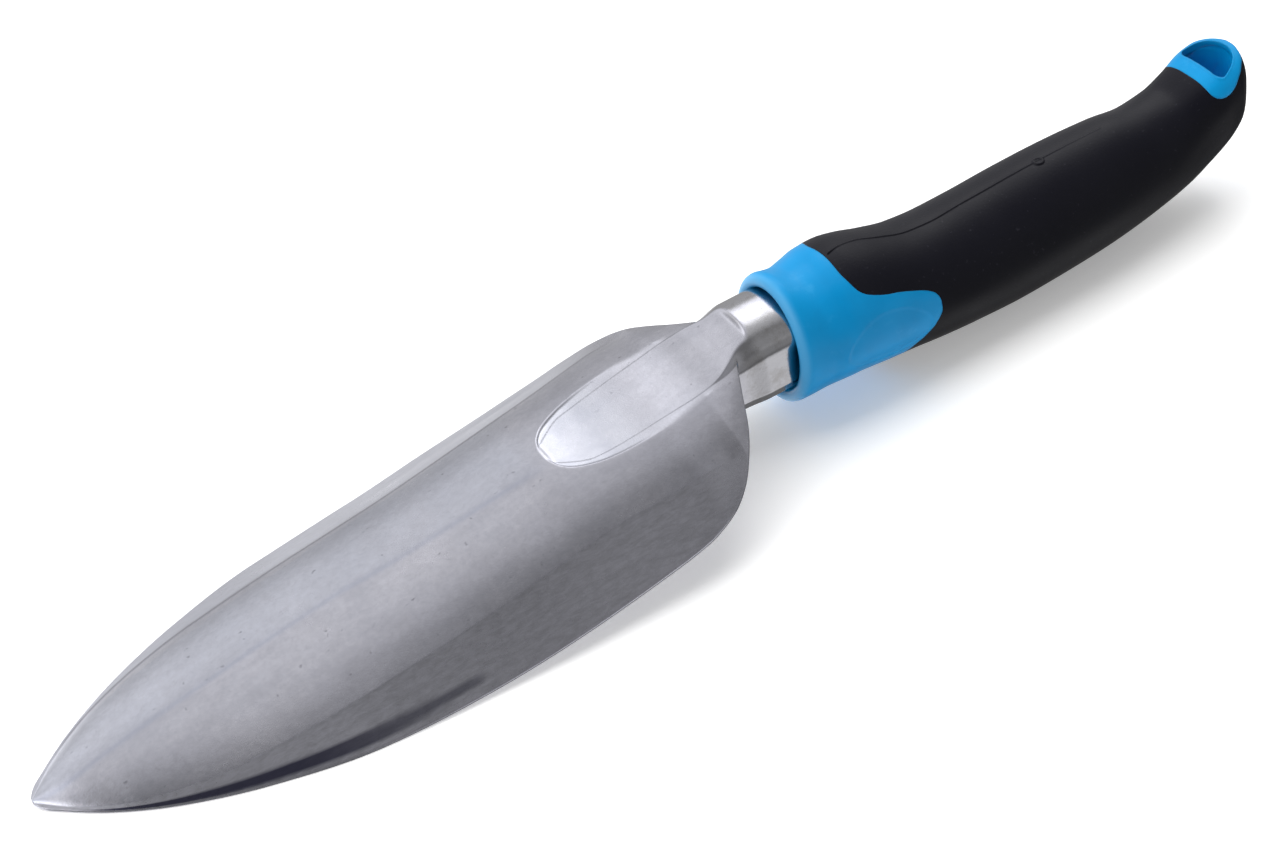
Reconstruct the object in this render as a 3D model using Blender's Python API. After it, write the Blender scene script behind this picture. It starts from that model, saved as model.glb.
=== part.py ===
"""Planting trowel: a cast blade with its tang, a hard handle core and a soft grip.

Tip toward -X, handle end toward +X, hollow side down, resting on the rims and on the handle's belly at Z = 0.
Profiles are written in millimetres: X from the tip, Y from the middle plane, Z from the table.
"""

import bmesh
import bpy
import numpy as np

MM = 0.001

# Whole tool
LENGTH = 340.8
CLEARANCE = 0.3

# Blade
RIM_THICKNESS = 0.7
BLADE_THICKNESS = 3.0
HOLLOW_POWER = 2.5
LEAST_BEVEL = 0.25
BLADE_STATIONS = 46
DOME_STEPS = 7
BEVEL_STEPS = 2

# Shank: boss on the blade, neck and tang
BOSS_START = 136.0
BOSS_LENGTH = 56.0
NECK_HALF_WIDTH = 11.4
NECK_TOP = 32.8
NECK_EDGE = 26.4
NECK_FLAT_BOTTOM = 16.1
NECK_BOTTOM = 13.1
NECK_CHAMFER = 1.6
NECK_END = 207.0
TANG_END = 300.0
TANG_HALF_WIDTH = 6.5
TANG_HALF_HEIGHT = 5.5
TANG_TAPER = 0.62
ARCH_STEPS = 7
ARCH_SQUARENESS = 2.2
ROOT_START = 187.0
ROOT_END = 193.0
ROOT_TOP = 32.2
ROOT_EDGE = 25.6
ROOT_SQUARENESS = 1.8
LEAF_CURVE = 0.002
LEAF_STEPS = 10
OVER_LEAF = 0.4
EDGE_UNDER_LEAF = 0.25

# Handle
COLLAR_TILT = 0.133
COLLAR_LIP_LENGTH = 7.8
TILT_FADE = 36.0
MOUTH_HALF_WIDTH = 13.6
MOUTH_HALF_HEIGHT = 13.2
MOUTH_HEIGHT = 20.9
MOUTH_DEPTH = 5.0
GRIP_THICKNESS = 3.0
GRIP_END_THICKNESS = 1.3
THINNING_START = 311.6
THINNING_END = 324.6
BUTT_START = 327.6
OVAL_X = 223.0
OVAL_ANGLE = -2.5
OVAL_HALF_LENGTH = 12.6
OVAL_HALF_ANGLE = 25.5
OVAL_DEPTH = 0.35

# Rows of the soft grip, inside and outside, as shares of its length
UNDER_ROWS = (
    (0.0, 0.06, 0.12, 0.19, 0.27, 0.36, 0.46, 0.56, 0.66)
    + (0.74, 0.81, 0.87, 0.91, 0.94, 0.96, 0.98, 1.0)
)
SKIN_ROWS = UNDER_ROWS[:-4] + (0.94, 0.957, 0.972, 0.985, 0.994, 1.0)

# Rows of the boss and its leaf, as shares of their length, and of the collar's lip, from its front
BOSS_ROWS = (
    (0.0, 0.009, 0.027, 0.054, 0.09, 0.143, 0.214, 0.304, 0.411, 0.518)
    + (0.607, 0.679, 0.75, 0.804, 0.857, 0.893, 0.929, 0.955, 0.982, 1.0)
)
LIP_ROWS = (0.0, 0.3, 1.2, 2.3, 4.3)
BUTT_ROWS = (0.0, 0.24, 0.36, 0.48, 0.58, 0.68, 0.78, 0.86, 0.92, 0.96, 0.985, 1.0)
BUTT_BLOCK_LENGTH = 24.8

# Hang hole
HOLE_WALL = 1.5
HOLE_LENGTH = 8.5
HOLE_HALF_WIDTH = 8.0
HOLE_CORNER = 2.7

# How far a cutter reaches past what it cuts
CUT_BEYOND = 8.0


def smooth(points):
    """A curve through the points with no overshoot between them."""
    xs = np.array([p[0] for p in points], float)
    ys = np.array([p[1] for p in points], float)
    step = np.diff(xs)
    slope = np.diff(ys) / step
    tangent = np.zeros(len(xs))
    for i in range(1, len(xs) - 1):
        if slope[i - 1] * slope[i] > 0:
            before = 2 * step[i] + step[i - 1]
            after = step[i] + 2 * step[i - 1]
            tangent[i] = (before + after) / (before / slope[i - 1] + after / slope[i])
    tangent[0] = slope[0]
    tangent[-1] = slope[-1]

    def value(x):
        x = np.clip(np.asarray(x, float), xs[0], xs[-1])
        i = np.clip(np.searchsorted(xs, x) - 1, 0, len(step) - 1)
        t = (x - xs[i]) / step[i]
        start = ys[i] * (1 + 2 * t) * (1 - t) ** 2 + tangent[i] * step[i] * t * (1 - t) ** 2
        end = ys[i + 1] * t * t * (3 - 2 * t) + tangent[i + 1] * step[i] * t * t * (t - 1)
        return start + end

    return value


def ease(x, low, high):
    """0 below low, 1 above high, with a soft change between."""
    t = np.clip((np.asarray(x, float) - low) / (high - low), 0, 1)
    return t * t * (3 - 2 * t)


# Rim of the blade from the tip round the shoulder to the neck: X, half width, height of the lower edge
RIM = (
    (0.0, 1.0, 0.0),
    (1.2, 3.2, 0.0),
    (5.0, 6.9, 0.0),
    (13.3, 13.7, 0.0),
    (26.6, 21.8, 0.0),
    (46.5, 30.0, 0.0),
    (70.0, 36.0, 0.0),
    (96.2, 38.4, 1.1),
    (123.0, 39.4, 4.1),
    (143.0, 39.2, 7.1),
    (156.3, 38.7, 9.6),
    (164.9, 36.9, 12.5),
    (170.2, 33.9, 15.4),
    (175.0, 28.9, 18.9),
    (178.9, 23.0, 21.6),
    (181.9, 16.6, 24.5),
    (185.6, 8.9, 28.2),
)

CROWN = smooth(
    (
        (0, 1.1),
        (10, 3.4),
        (20, 5.0),
        (35, 7.2),
        (65, 10.6),
        (95, 14.7),
        (125, 19.9),
        (137, 22.3),
        (147, 24.0),
        (155, 25.2),
        (165, 26.5),
        (175, 27.8),
        (181, 28.8),
        (186, 30.2),
    )
)
CREASE = smooth(
    ((0, 0.6), (8, 8.6), (20, 16.3), (35, 21.4), (50, 24.0))
    + ((80, 25.7), (140, 26.0), (160, 27.4), (186, 28.4))
)
BEVEL_DROP = smooth(
    (
        (0, 0.1),
        (20, 0.9),
        (50, 3.2),
        (80, 6.1),
        (110, 7.8),
        (138, 8.8),
        (150, 8.4),
        (162, 6.9),
        (176, 1.0),
        (186, 0.3),
    )
)

# Boss, and the leaf-shaped hollow pressed into it, along their length: half widths and the leaf's floor
BOSS_HALF_WIDTH = smooth(
    ((0, 2.3), (3, 5), (10, 9), (30, 10.5), (44, 11.0), (50, 10.9), (BOSS_LENGTH, NECK_HALF_WIDTH))
)
LEAF_HALF_WIDTH = smooth(
    (
        (0, 2.6),
        (0.5, 4.0),
        (1.5, 5.7),
        (4.5, 8.4),
        (8.0, 10.3),
        (11.5, 11.5),
        (19.5, 12.9),
        (27.5, 13.4),
        (36.0, 12.6),
        (41.0, 12.2),
        (BOSS_LENGTH, 12.2),
    )
)
LEAF_FLOOR = smooth(
    (
        (0, 21.95),
        (5, 22.0),
        (11, 22.2),
        (19.5, 23.2),
        (27.5, 24.4),
        (36, 25.6),
        (43.5, 26.9),
        (48, 28.4),
        (50, 29.4),
        (52, 30.3),
        (54, 31.5),
        (BOSS_LENGTH, 33.0),
    )
)
SHANK_UNDER = smooth(
    ((136, 18.4), (150, 20.3), (158, 20.6), (166, 18.6), (176, 15.0), (184, 13.4), (190, NECK_BOTTOM))
)

HANDLE_TOP = smooth(
    (
        (199.2, 35.6),
        (199.5, 36.4),
        (200.4, 37.1),
        (201.5, 37.1),
        (203.5, 36.5),
        (207, 35.7),
        (211, 36.1),
        (215, 37),
        (220, 37.5),
        (226, 36.5),
        (233, 34.3),
        (241, 32),
        (250, 31.2),
        (260, 31.5),
        (273, 32.3),
        (287, 32.7),
        (302, 32.5),
        (311.5, 31.5),
        (319.8, 32.1),
        (326.3, 34.5),
        (331.8, 37),
        (338.1, 38.2),
        (340.8, 38.3),
    )
)
HANDLE_BOTTOM_POINTS = (
    (199.2, 6.4),
    (199.5, 5.4),
    (200.4, 4.7),
    (201.5, 4.6),
    (203.5, 4.7),
    (207, 5.1),
    (211, 5.3),
    (215, 5.2),
    (220, 4.5),
    (233, 2.6),
    (250, 0.9),
    (265, 0),
    (280, 0.4),
    (300, 1.9),
    (311.5, 3.8),
    (319.8, 6.6),
    (327.2, 10.6),
    (331.8, 14.1),
    (335.7, 17.9),
    (338.6, 22.1),
    (340.2, 26.1),
    (340.8, 30.2),
)
HANDLE_BOTTOM = smooth(HANDLE_BOTTOM_POINTS)
HANDLE_HALF = smooth(
    (
        (199.2, 14.3),
        (199.5, 15.0),
        (200.4, 15.9),
        (201.5, 16.3),
        (203.5, 16.4),
        (207, 16.6),
        (211, 17.4),
        (215, 18),
        (222, 18),
        (233, 17.1),
        (250, 16.8),
        (270, 16.5),
        (290, 15.8),
        (309.7, 13.8),
        (327.2, 11.3),
        (331.8, 11.5),
        (335.7, 11),
        (338.6, 8.9),
        (340.2, 5.9),
        (340.8, 3.4),
    )
)
SQUARENESS = smooth(((199.2, 2.0), (309.7, 2.0), (328.1, 3.0), (340.8, 3.4)))

# Edge between the hard collar with its side tongue and the soft grip: angle from the side, X
TONGUE = (
    (90, 217.3),
    (79, 217.2),
    (69, 217.1),
    (58, 217.6),
    (49, 218.3),
    (42.5, 219.7),
    (38.5, 221.9),
    (36, 224.5),
    (34, 228.4),
    (31.5, 232.3),
    (28.5, 235.6),
    (24, 237.6),
    (17, 238.3),
    (8, 238.1),
    (-1, 236.8),
    (-11.5, 234.5),
    (-22.5, 231.6),
    (-35, 229),
    (-50, 227.2),
    (-65, 226),
    (-78, 225.2),
    (-90, 225),
)

# Side view of the hard ring that shows round the hang hole: X, Z
RING_EDGE = (
    (327.3, 46.0),
    (327.3, 34.4),
    (327.6, 33.0),
    (328.6, 32.1),
    (330.2, 31.9),
    (332.1, 32.5),
    (334.0, 33.8),
    (336.0, 35.5),
    (338.5, 36.8),
    (342.0, 37.3),
    (352.0, 37.8),
)

DRAWN_LENGTH = HANDLE_BOTTOM_POINTS[-1][0]
COLLAR_FRONT = HANDLE_BOTTOM_POINTS[0][0]
COLLAR_BACK = COLLAR_FRONT + COLLAR_LIP_LENGTH
HOLE_FRONT = DRAWN_LENGTH - HOLE_WALL - HOLE_LENGTH


def new_object(name, mesh, collection):
    made = bpy.data.objects.new(name, mesh)
    collection.objects.link(made)
    return made


def new_collection(name):
    made = bpy.data.collections.new(name)
    bpy.context.scene.collection.children.link(made)
    return made


def clear_scene():
    for old in list(bpy.data.objects):
        bpy.data.objects.remove(old, do_unlink=True)
    for old in list(bpy.data.collections):
        bpy.data.collections.remove(old)


def placed(points):
    """Profile millimetres to metres, stretched to the tool's length, whose middle is over the origin."""
    points = np.asarray(points, float).copy()
    points[..., 0] = (points[..., 0] - DRAWN_LENGTH / 2) * LENGTH / DRAWN_LENGTH
    return points * MM


def loft(name, rings, collection):
    """A closed body through the rings, with a flat face over the first and the last."""
    rings = [placed(ring) for ring in rings]
    count = len(rings[0])
    body = bmesh.new()
    rows = [[body.verts.new(point) for point in ring] for ring in rings]
    for near, far in zip(rows, rows[1:]):
        for i in range(count):
            j = (i + 1) % count
            body.faces.new((near[i], near[j], far[j], far[i]))
    body.faces.new(rows[0][::-1])
    body.faces.new(rows[-1])
    bmesh.ops.recalc_face_normals(body, faces=body.faces)
    mesh = bpy.data.meshes.new(name)
    body.to_mesh(mesh)
    body.free()
    return new_object(name, mesh, collection)


def prism(name, outline, low, high, across, collection):
    """The outline, a list of (x, other), pulled from low to high along Y (across) or Z."""
    start = [(x, low, other) if across else (x, other, low) for x, other in outline]
    end = [(x, high, other) if across else (x, other, high) for x, other in outline]
    return loft(name, [start, end], collection)


def boolean(target, other, operation):
    step = target.modifiers.new(operation.lower() + "_" + other.name, "BOOLEAN")
    step.operation = operation
    step.solver = "EXACT"
    step.object = other


def helper(made):
    made.hide_render = True
    made.display_type = "WIRE"
    return made


def rim_at(count):
    """Points along the rim, closer together at the tip and round the shoulder."""
    rim = np.array(RIM)
    path = np.concatenate([[0], np.cumsum(np.linalg.norm(np.diff(rim, axis=0), axis=1))])
    ahead = np.linspace(0, 1, count)
    t = path[-1] * (ahead - 0.045 * np.sin(2 * np.pi * ahead) - 0.03 * np.sin(4 * np.pi * ahead))
    return [smooth(list(zip(path, rim[:, k])))(t) for k in range(3)]


def blade_section(x, half, low):
    """Closed section of the blade: bevel, dome and bevel on the back, then one smooth hollow."""
    top = low + RIM_THICKNESS
    crease = min(float(CREASE(x)), half - LEAST_BEVEL)
    shoulder = top + float(BEVEL_DROP(x)) * min(1.0, (half - crease) / 2.0)
    crown = float(CROWN(x))
    inner = low + max(crown - low - BLADE_THICKNESS, 0.35 * (crown - low - RIM_THICKNESS))
    back = []
    for i in range(BEVEL_STEPS):
        t = i / BEVEL_STEPS
        back.append((half + (crease - half) * t, top + (shoulder - top) * t))
    for i in range(DOME_STEPS + 1):
        y = crease * (1 - i / DOME_STEPS)
        back.append((y, crown - (crown - shoulder) * (y / crease) ** 2))
    back += [(-y, z) for y, z in back[-2::-1]]
    hollow = []
    for y, _ in back[::-1]:
        hollow.append((y, low + (inner - low) * (1 - abs(y / half) ** HOLLOW_POWER)))
    return [(x, y, z) for y, z in back + hollow]


def make_blade_shell(collection):
    x, half, low = rim_at(BLADE_STATIONS)
    rings = [blade_section(*station) for station in zip(x, half, low)]
    return loft("blade", rings, collection)


def leaf_height(y, floor):
    """The leaf is dished: it rises a little from its middle toward its sides."""
    return floor + LEAF_CURVE * y**2


def bar_section(x, half, top, edge, flat_bottom, bottom, chamfer, squareness=ARCH_SQUARENESS, limit=None):
    """Closed section of the shank: an arched top, flat sides, cut lower corners and a flat underside."""
    arch = []
    for i in range(ARCH_STEPS + 1):
        angle = np.pi / 2 * i / ARCH_STEPS
        y = half * max(np.cos(angle), 0.0) ** (2 / squareness)
        z = edge + (top - edge) * np.sin(angle) ** (2 / squareness)
        if limit is not None:
            z = min(z, leaf_height(y, limit))
        arch.append((y, z))
    arch += [(-y, z) for y, z in arch[-2::-1]]
    lower = [(-half, flat_bottom), (-half + chamfer, bottom), (half - chamfer, bottom), (half, flat_bottom)]
    return [(x, y, z) for y, z in arch + lower]


def boss_section(x):
    """The boss is the neck's bar run on into the dome, no higher than just over the leaf."""
    ahead = x - BOSS_START
    half = float(BOSS_HALF_WIDTH(ahead))
    limit = float(LEAF_FLOOR(ahead)) + OVER_LEAF
    neck = float(ease(x, ROOT_START, ROOT_END))
    top = ROOT_TOP + (NECK_TOP - ROOT_TOP) * neck
    edge = ROOT_EDGE + (NECK_EDGE - ROOT_EDGE) * neck
    squareness = ROOT_SQUARENESS + (ARCH_SQUARENESS - ROOT_SQUARENESS) * neck
    edge = min(edge, leaf_height(half, limit) - EDGE_UNDER_LEAF)
    bottom = float(SHANK_UNDER(x))
    flat_bottom = min(bottom + NECK_FLAT_BOTTOM - NECK_BOTTOM, edge - 0.8)
    bottom = min(bottom, flat_bottom - 0.5)
    return bar_section(x, half, top, edge, flat_bottom, bottom, NECK_CHAMFER, squareness, limit)


def leaf_cutter(cutters):
    """What the leaf-shaped hollow takes out of the dome and the boss."""
    rings = []
    for share in BOSS_ROWS:
        ahead = BOSS_LENGTH * share
        half = float(LEAF_HALF_WIDTH(ahead))
        floor = float(LEAF_FLOOR(ahead))
        over = floor + CUT_BEYOND
        ring = [(y, leaf_height(y, floor)) for y in np.linspace(-half, half, LEAF_STEPS + 1)]
        rings.append([(BOSS_START + ahead, y, z) for y, z in ring + [(half, over), (-half, over)]])
    return loft("leaf", rings, cutters)


def neck_section(x, grow=0.0):
    return bar_section(
        x,
        NECK_HALF_WIDTH + grow,
        NECK_TOP + grow,
        NECK_EDGE,
        NECK_FLAT_BOTTOM,
        NECK_BOTTOM - grow,
        NECK_CHAMFER,
    )


def handle_middle(x):
    return (float(HANDLE_TOP(x)) + float(HANDLE_BOTTOM(x))) / 2


def tang_section(x, grow=0.0):
    taper = 1 - (1 - TANG_TAPER) * (x - NECK_END) / (TANG_END - NECK_END)
    half = TANG_HALF_WIDTH * taper + grow
    height = TANG_HALF_HEIGHT * taper + grow
    middle = handle_middle(x)
    round_over = 0.35 * height
    return bar_section(
        x,
        half,
        middle + height,
        middle + height - round_over,
        middle - height + round_over,
        middle - height,
        round_over,
    )


def shank_rings(start, grow=0.0):
    rings = []
    if start < BOSS_START + BOSS_LENGTH:
        for share in BOSS_ROWS:
            rings.append(boss_section(BOSS_START + BOSS_LENGTH * share))
        start = (BOSS_START + BOSS_LENGTH + NECK_END) / 2
    for x in (start, NECK_END + grow):
        rings.append(neck_section(x, grow))
    for x in np.linspace(NECK_END + grow, TANG_END + grow, 8):
        rings.append(tang_section(x, grow))
    return rings


def make_blade(parts, cutters):
    blade = make_blade_shell(parts)
    shank = helper(loft("shank", shank_rings(BOSS_START), cutters))
    boolean(blade, shank, "UNION")
    boolean(blade, helper(leaf_cutter(cutters)), "DIFFERENCE")
    return blade


def surface(x, angle, inset=0.0):
    """Point of the handle's skin, or of a skin set in by inset, at the angle in degrees from the +Y side."""
    turn = np.radians(angle)
    top = float(HANDLE_TOP(x))
    bottom = float(HANDLE_BOTTOM(x))
    power = 2 / float(SQUARENESS(x))
    height = (top - bottom) / 2 - inset
    half = float(HANDLE_HALF(x)) - inset
    y = half * np.sign(np.cos(turn)) * abs(np.cos(turn)) ** power
    z = height * np.sign(np.sin(turn)) * abs(np.sin(turn)) ** power
    lean = COLLAR_TILT * z * (1 - ease(x, COLLAR_FRONT, COLLAR_FRONT + TILT_FADE))
    back = inset * float(ease(x, BUTT_START, DRAWN_LENGTH))
    return x + lean - back, y, z + (top + bottom) / 2


def tongue_columns(shift=0.0):
    """(angle, X) of the tongue's edge all the way round, moved by shift toward the grip."""
    side = np.array(TONGUE)
    run = np.radians(side[:, 0]) * float(HANDLE_HALF(230.0))
    across = np.gradient(run)
    along = np.gradient(side[:, 1])
    length = np.hypot(across, along)
    run = run + shift * along / length
    x = side[:, 1] - shift * across / length
    angle = np.degrees(run / float(HANDLE_HALF(230.0)))
    angle[0] = 90.0
    angle[-1] = -90.0
    near = list(zip(angle, x))
    far = [(180 - a, b) for a, b in near[-2:0:-1]]
    return near + far


def unlean(x, angle):
    """Station whose skin point at the angle lies at X."""
    station = x
    for _ in range(4):
        station += x - surface(station, angle)[0]
    return station


def make_core(parts, cutters):
    edge = [(angle, unlean(x, angle)) for angle, x in tongue_columns()]
    rings = []
    for x in [COLLAR_FRONT + row for row in LIP_ROWS] + [COLLAR_BACK]:
        rings.append([surface(x, angle) for angle, _ in edge])
    for t in (0.2, 0.4, 0.6, 0.8, 1.0):
        rings.append([skin(COLLAR_BACK + (x - COLLAR_BACK) * t, angle) for angle, x in edge])
    rings += [under_ring(edge, t, CLEARANCE) for t in UNDER_ROWS]
    core = loft("handle_core", rings, parts)
    boolean(core, ring_block(parts, cutters), "UNION")
    boolean(core, helper(hole_cutter(cutters)), "DIFFERENCE")
    boolean(core, helper(mouth_cutter(cutters)), "DIFFERENCE")
    socket = loft("tang_socket", shank_rings(COLLAR_FRONT - CLEARANCE, CLEARANCE), cutters)
    boolean(core, helper(socket), "DIFFERENCE")
    return core


def skin(x, angle):
    """The handle's skin with the shallow oval field in the side of each tongue."""
    above = np.degrees(np.arcsin(np.sin(np.radians(angle))))
    away = np.hypot((x - OVAL_X) / OVAL_HALF_LENGTH, (above - OVAL_ANGLE) / OVAL_HALF_ANGLE)
    return surface(x, angle, OVAL_DEPTH * (1 - float(ease(away, 0.86, 1.02))))


def grip_thickness(x):
    thinned = float(ease(x, THINNING_START, THINNING_END))
    return GRIP_THICKNESS + (GRIP_END_THICKNESS - GRIP_THICKNESS) * thinned


def under_ring(edge, t, gap=0.0):
    """Ring of the face between core and grip, t of the way from the tongue's edge to the end."""
    ring = []
    for angle, x in edge:
        station = x + (DRAWN_LENGTH - x) * t
        ring.append(surface(station, angle, grip_thickness(station) + gap))
    return ring


def ring_outline(grow=0.0):
    """Side view of the ring's edge, grown outward, and closed above the handle."""
    edge = np.array(RING_EDGE)
    run = np.gradient(edge, axis=0)
    length = np.hypot(run[:, 0], run[:, 1])
    out = np.stack([run[:, 1] / length, -run[:, 0] / length], axis=-1)
    return list(map(tuple, edge + grow * out)) + [(RING_EDGE[-1][0], RING_EDGE[0][1])]


def ring_prism(name, grow, cutters):
    reach = float(HANDLE_HALF(BUTT_START)) + CUT_BEYOND
    return helper(prism(name, ring_outline(grow), -reach, reach, True, cutters))


def ring_block(parts, cutters):
    """The part of the handle's body that shows as the hard ring round the hang hole."""
    angles = np.arange(0, 360, 9.0)
    start = DRAWN_LENGTH - BUTT_BLOCK_LENGTH
    rings = [[surface(start + BUTT_BLOCK_LENGTH * t, angle) for angle in angles] for t in BUTT_ROWS]
    block = helper(loft("ring_block", rings, cutters))
    boolean(block, ring_prism("ring_edge", 0.0, cutters), "INTERSECT")
    return block


def hole_cutter(cutters, name="hang_hole"):
    """D-shaped hole: straight toward the handle, round toward the end."""
    outline = [
        (HOLE_FRONT, -HOLE_HALF_WIDTH + HOLE_CORNER),
        (HOLE_FRONT + 0.17 * HOLE_CORNER, -HOLE_HALF_WIDTH + 0.4 * HOLE_CORNER),
    ]
    for angle in np.radians(np.linspace(-80, 80, 13)):
        outline.append((HOLE_FRONT + HOLE_LENGTH * np.cos(angle), HOLE_HALF_WIDTH * np.sin(angle)))
    outline += [(x, -y) for x, y in outline[1::-1]]
    over = float(HANDLE_TOP(DRAWN_LENGTH)) + CUT_BEYOND
    return prism(name, outline, -CUT_BEYOND, over, False, cutters)


def mouth_cutter(cutters):
    """Round recess in the collar's mouth, along the collar's own leaning axis."""
    rings = []
    for x in (COLLAR_FRONT - CUT_BEYOND, COLLAR_FRONT + MOUTH_DEPTH):
        ring = []
        for angle in np.radians(np.arange(0, 360, 10.0)):
            y = MOUTH_HALF_WIDTH * np.cos(angle)
            z = MOUTH_HALF_HEIGHT * np.sin(angle)
            ring.append((x + COLLAR_TILT * z, y, MOUTH_HEIGHT + z))
        rings.append(ring)
    return loft("collar_mouth", rings, cutters)


def make_grip(parts, cutters):
    edge = [(angle, unlean(x, angle)) for angle, x in tongue_columns(CLEARANCE)]
    rings = [under_ring(edge, t) for t in UNDER_ROWS[::-1]]
    for t in SKIN_ROWS:
        rings.append([surface(x + (DRAWN_LENGTH - x) * t, angle) for angle, x in edge])
    grip = loft("grip", rings, parts)
    boolean(grip, ring_prism("ring_edge_clear", CLEARANCE, cutters), "DIFFERENCE")
    boolean(grip, helper(hole_cutter(cutters, "hang_hole_in_grip")), "DIFFERENCE")
    return grip


def material(name, colour, roughness, metallic):
    made = bpy.data.materials.new(name)
    made.use_nodes = True
    shader = made.node_tree.nodes["Principled BSDF"]
    shader.inputs["Base Color"].default_value = (*colour, 1.0)
    shader.inputs["Roughness"].default_value = roughness
    shader.inputs["Metallic"].default_value = metallic
    return made


def main():
    clear_scene()
    parts = new_collection("planting_trowel")
    cutters = new_collection("cutters")
    cutters.hide_render = True
    blade = make_blade(parts, cutters)
    core = make_core(parts, cutters)
    grip = make_grip(parts, cutters)
    blade.data.materials.append(material("cast_aluminium", (0.60, 0.60, 0.64), 0.36, 1.0))
    core.data.materials.append(material("blue_plastic", (0.0, 0.25, 0.62), 0.42, 0.0))
    grip.data.materials.append(material("black_rubber", (0.012, 0.011, 0.016), 0.62, 0.0))


main()
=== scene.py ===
"""Looks of the planting trowel: fine skins on the profiles of its solids, their finishes and the studio.

Profiles are in millimetres: X from the tip, Y from the middle plane, Z from the table.
"""

import math

import bmesh
import bpy
import numpy as np
from mathutils import Euler, Matrix, Vector


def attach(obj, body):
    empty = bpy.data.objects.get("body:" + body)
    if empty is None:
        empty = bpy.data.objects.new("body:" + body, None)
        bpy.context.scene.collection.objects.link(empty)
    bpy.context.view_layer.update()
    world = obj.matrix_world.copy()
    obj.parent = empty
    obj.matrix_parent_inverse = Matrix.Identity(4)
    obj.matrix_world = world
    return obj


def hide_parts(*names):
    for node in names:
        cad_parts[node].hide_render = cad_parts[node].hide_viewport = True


MM = 0.001
SAME_POINT = 2e-7

# Whole tool
LENGTH = 340.8

# Blade
RIM_THICKNESS = 0.7
BLADE_THICKNESS = 3.0
HOLLOW_POWER = 2.5
LEAST_HOLLOW = 0.35
FULL_BEVEL = 2.0
LEAST_BEVEL = 0.05
CREASE_FADE = 0.08
CREASE_END = 150.0

# Shank: boss on the blade, neck and tang
BOSS_START = 136.0
BOSS_LENGTH = 56.0
NECK_HALF_WIDTH = 11.4
NECK_TOP = 32.8
NECK_EDGE = 26.4
NECK_FLAT_BOTTOM = 16.1
NECK_BOTTOM = 13.1
NECK_CHAMFER = 1.6
NECK_END = 206.5
ARCH_SQUARENESS = 2.2
ROOT_START = 185.0
ROOT_END = 192.0
ROOT_TOP = 32.2
ROOT_EDGE = 25.6
ROOT_SQUARENESS = 1.8
LEAST_SIDE = 0.8
LEAST_CHAMFER = 0.5

# Leaf-shaped hollow in the boss, and how far shell and shank lie under its floor where the other one shows
LEAF_CURVE = 0.002
LEAF_WALL = 1.1
NOSE_WALL = 2.2
BLEND = 0.25
UNDER_LEAF = 0.02
EDGE_UNDER_LEAF = 0.25
SHELL_UNDER = 0.3
SHELL_DIP = 42.0
SHELL_DIP_END = 46.0
LEAF_RELEASE = 6.0
RELEASE_START = BOSS_LENGTH - 2.0
RELEASE_END = BOSS_LENGTH + 4.0

# Handle
COLLAR_TILT = 0.133
COLLAR_LIP_LENGTH = 7.8
TILT_FADE = 36.0
MOUTH_HALF_WIDTH = 12.7
MOUTH_HALF_HEIGHT = 13.2
MOUTH_HEIGHT = 20.9
MOUTH_DEPTH = 5.0
MOUTH_MIDDLE = 3.0
ROLL_LENGTH = 1.2
ROLL_GROWTH = 1.1
STEP_UNDER_GRIP = 1.5
GRIP_THICKNESS = 3.0
GRIP_END_THICKNESS = 1.3
THINNING_START = 311.6
THINNING_END = 324.6
BUTT_START = 327.6
CORE_START = 1.0
CORE_GAP = 0.3

# Thumb oval: place and half sizes in X and in degrees round the handle, wall and edge as shares of its size
OVAL_X = 223.0
OVAL_ANGLE = -2.5
OVAL_HALF_LENGTH = 12.6
OVAL_HALF_ANGLE = 25.5
OVAL_DEPTH = 0.2
OVAL_WALL = (0.9, 0.98)
OVAL_EDGE = 0.1
OVAL_EDGE_WIDTH = 0.03

# Hang hole
HOLE_WALL = 1.5
HOLE_LENGTH = 8.5
HOLE_HALF_WIDTH = 8.0
HOLE_CORNER = 2.7
HOLE_ARC = 80.0
SLEEVE_WALL = 0.4
SLEEVE_INSET = 0.03
SLEEVE_CLEARANCE = 0.02
SKIN_GAP = 0.05

# Reach of the cutters to each side, and from below the handle to above it
CUTTER_SIDE = 20.0
CUTTER_BOTTOM = 2.0
CUTTER_TOP = 46.0
CUTTER_EXTRA = 1.0

# Parting line and gate scar on top of the grip
SEAM_START = 218.2
SEAM_END = 300.0
SEAM_RISE = 0.24
SEAM_FADE_START = SEAM_END - 40.0
SEAM_FADE_END = SEAM_END - 1.0
SEAM_HALF_WIDTH = 0.26
SEAM_ROOT = 0.5
GATE_X = 280.2
GATE_Y = -0.3

# Rings of the gate scar: radius, height above the grip
GATE_RINGS = ((1.6, -0.4), (1.5, 0.1), (1.3, 0.24), (1.0, 0.22), (0.85, 0.03), (0.3, 0.02))

# Divisions of the blade, the boss and the neck
BLADE_STATIONS = 420
RIM_CROWDING = (0.045, 0.03)
NOSE_ROWS_START = BOSS_START - 0.5
NOSE_ROWS_END = BOSS_START + 4.0
NOSE_ROW_PITCH = 0.2
LEAF_STEPS = 16
WALL_STEPS = 8
FLANK_STEPS = 18
BEVEL_STEPS = 14
ARCH_STEPS = 60
BOSS_ROWS = 60
BOSS_ROWS_END = 178.0
NECK_ROW_PITCH = 0.3
NECK_ROWS_END = 197.0
HIDDEN_NECK_ROWS = (198.0, 199.5, 201.0, 203.0, NECK_END)

# Columns across the dome: share that the inner ones take in front of the leaf, and their limits beside it
OPEN_SPREAD = 0.42
MOST_SPREAD = 0.8
MOST_WALL = 0.4
LEAF_APPROACH = 26.0

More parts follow.
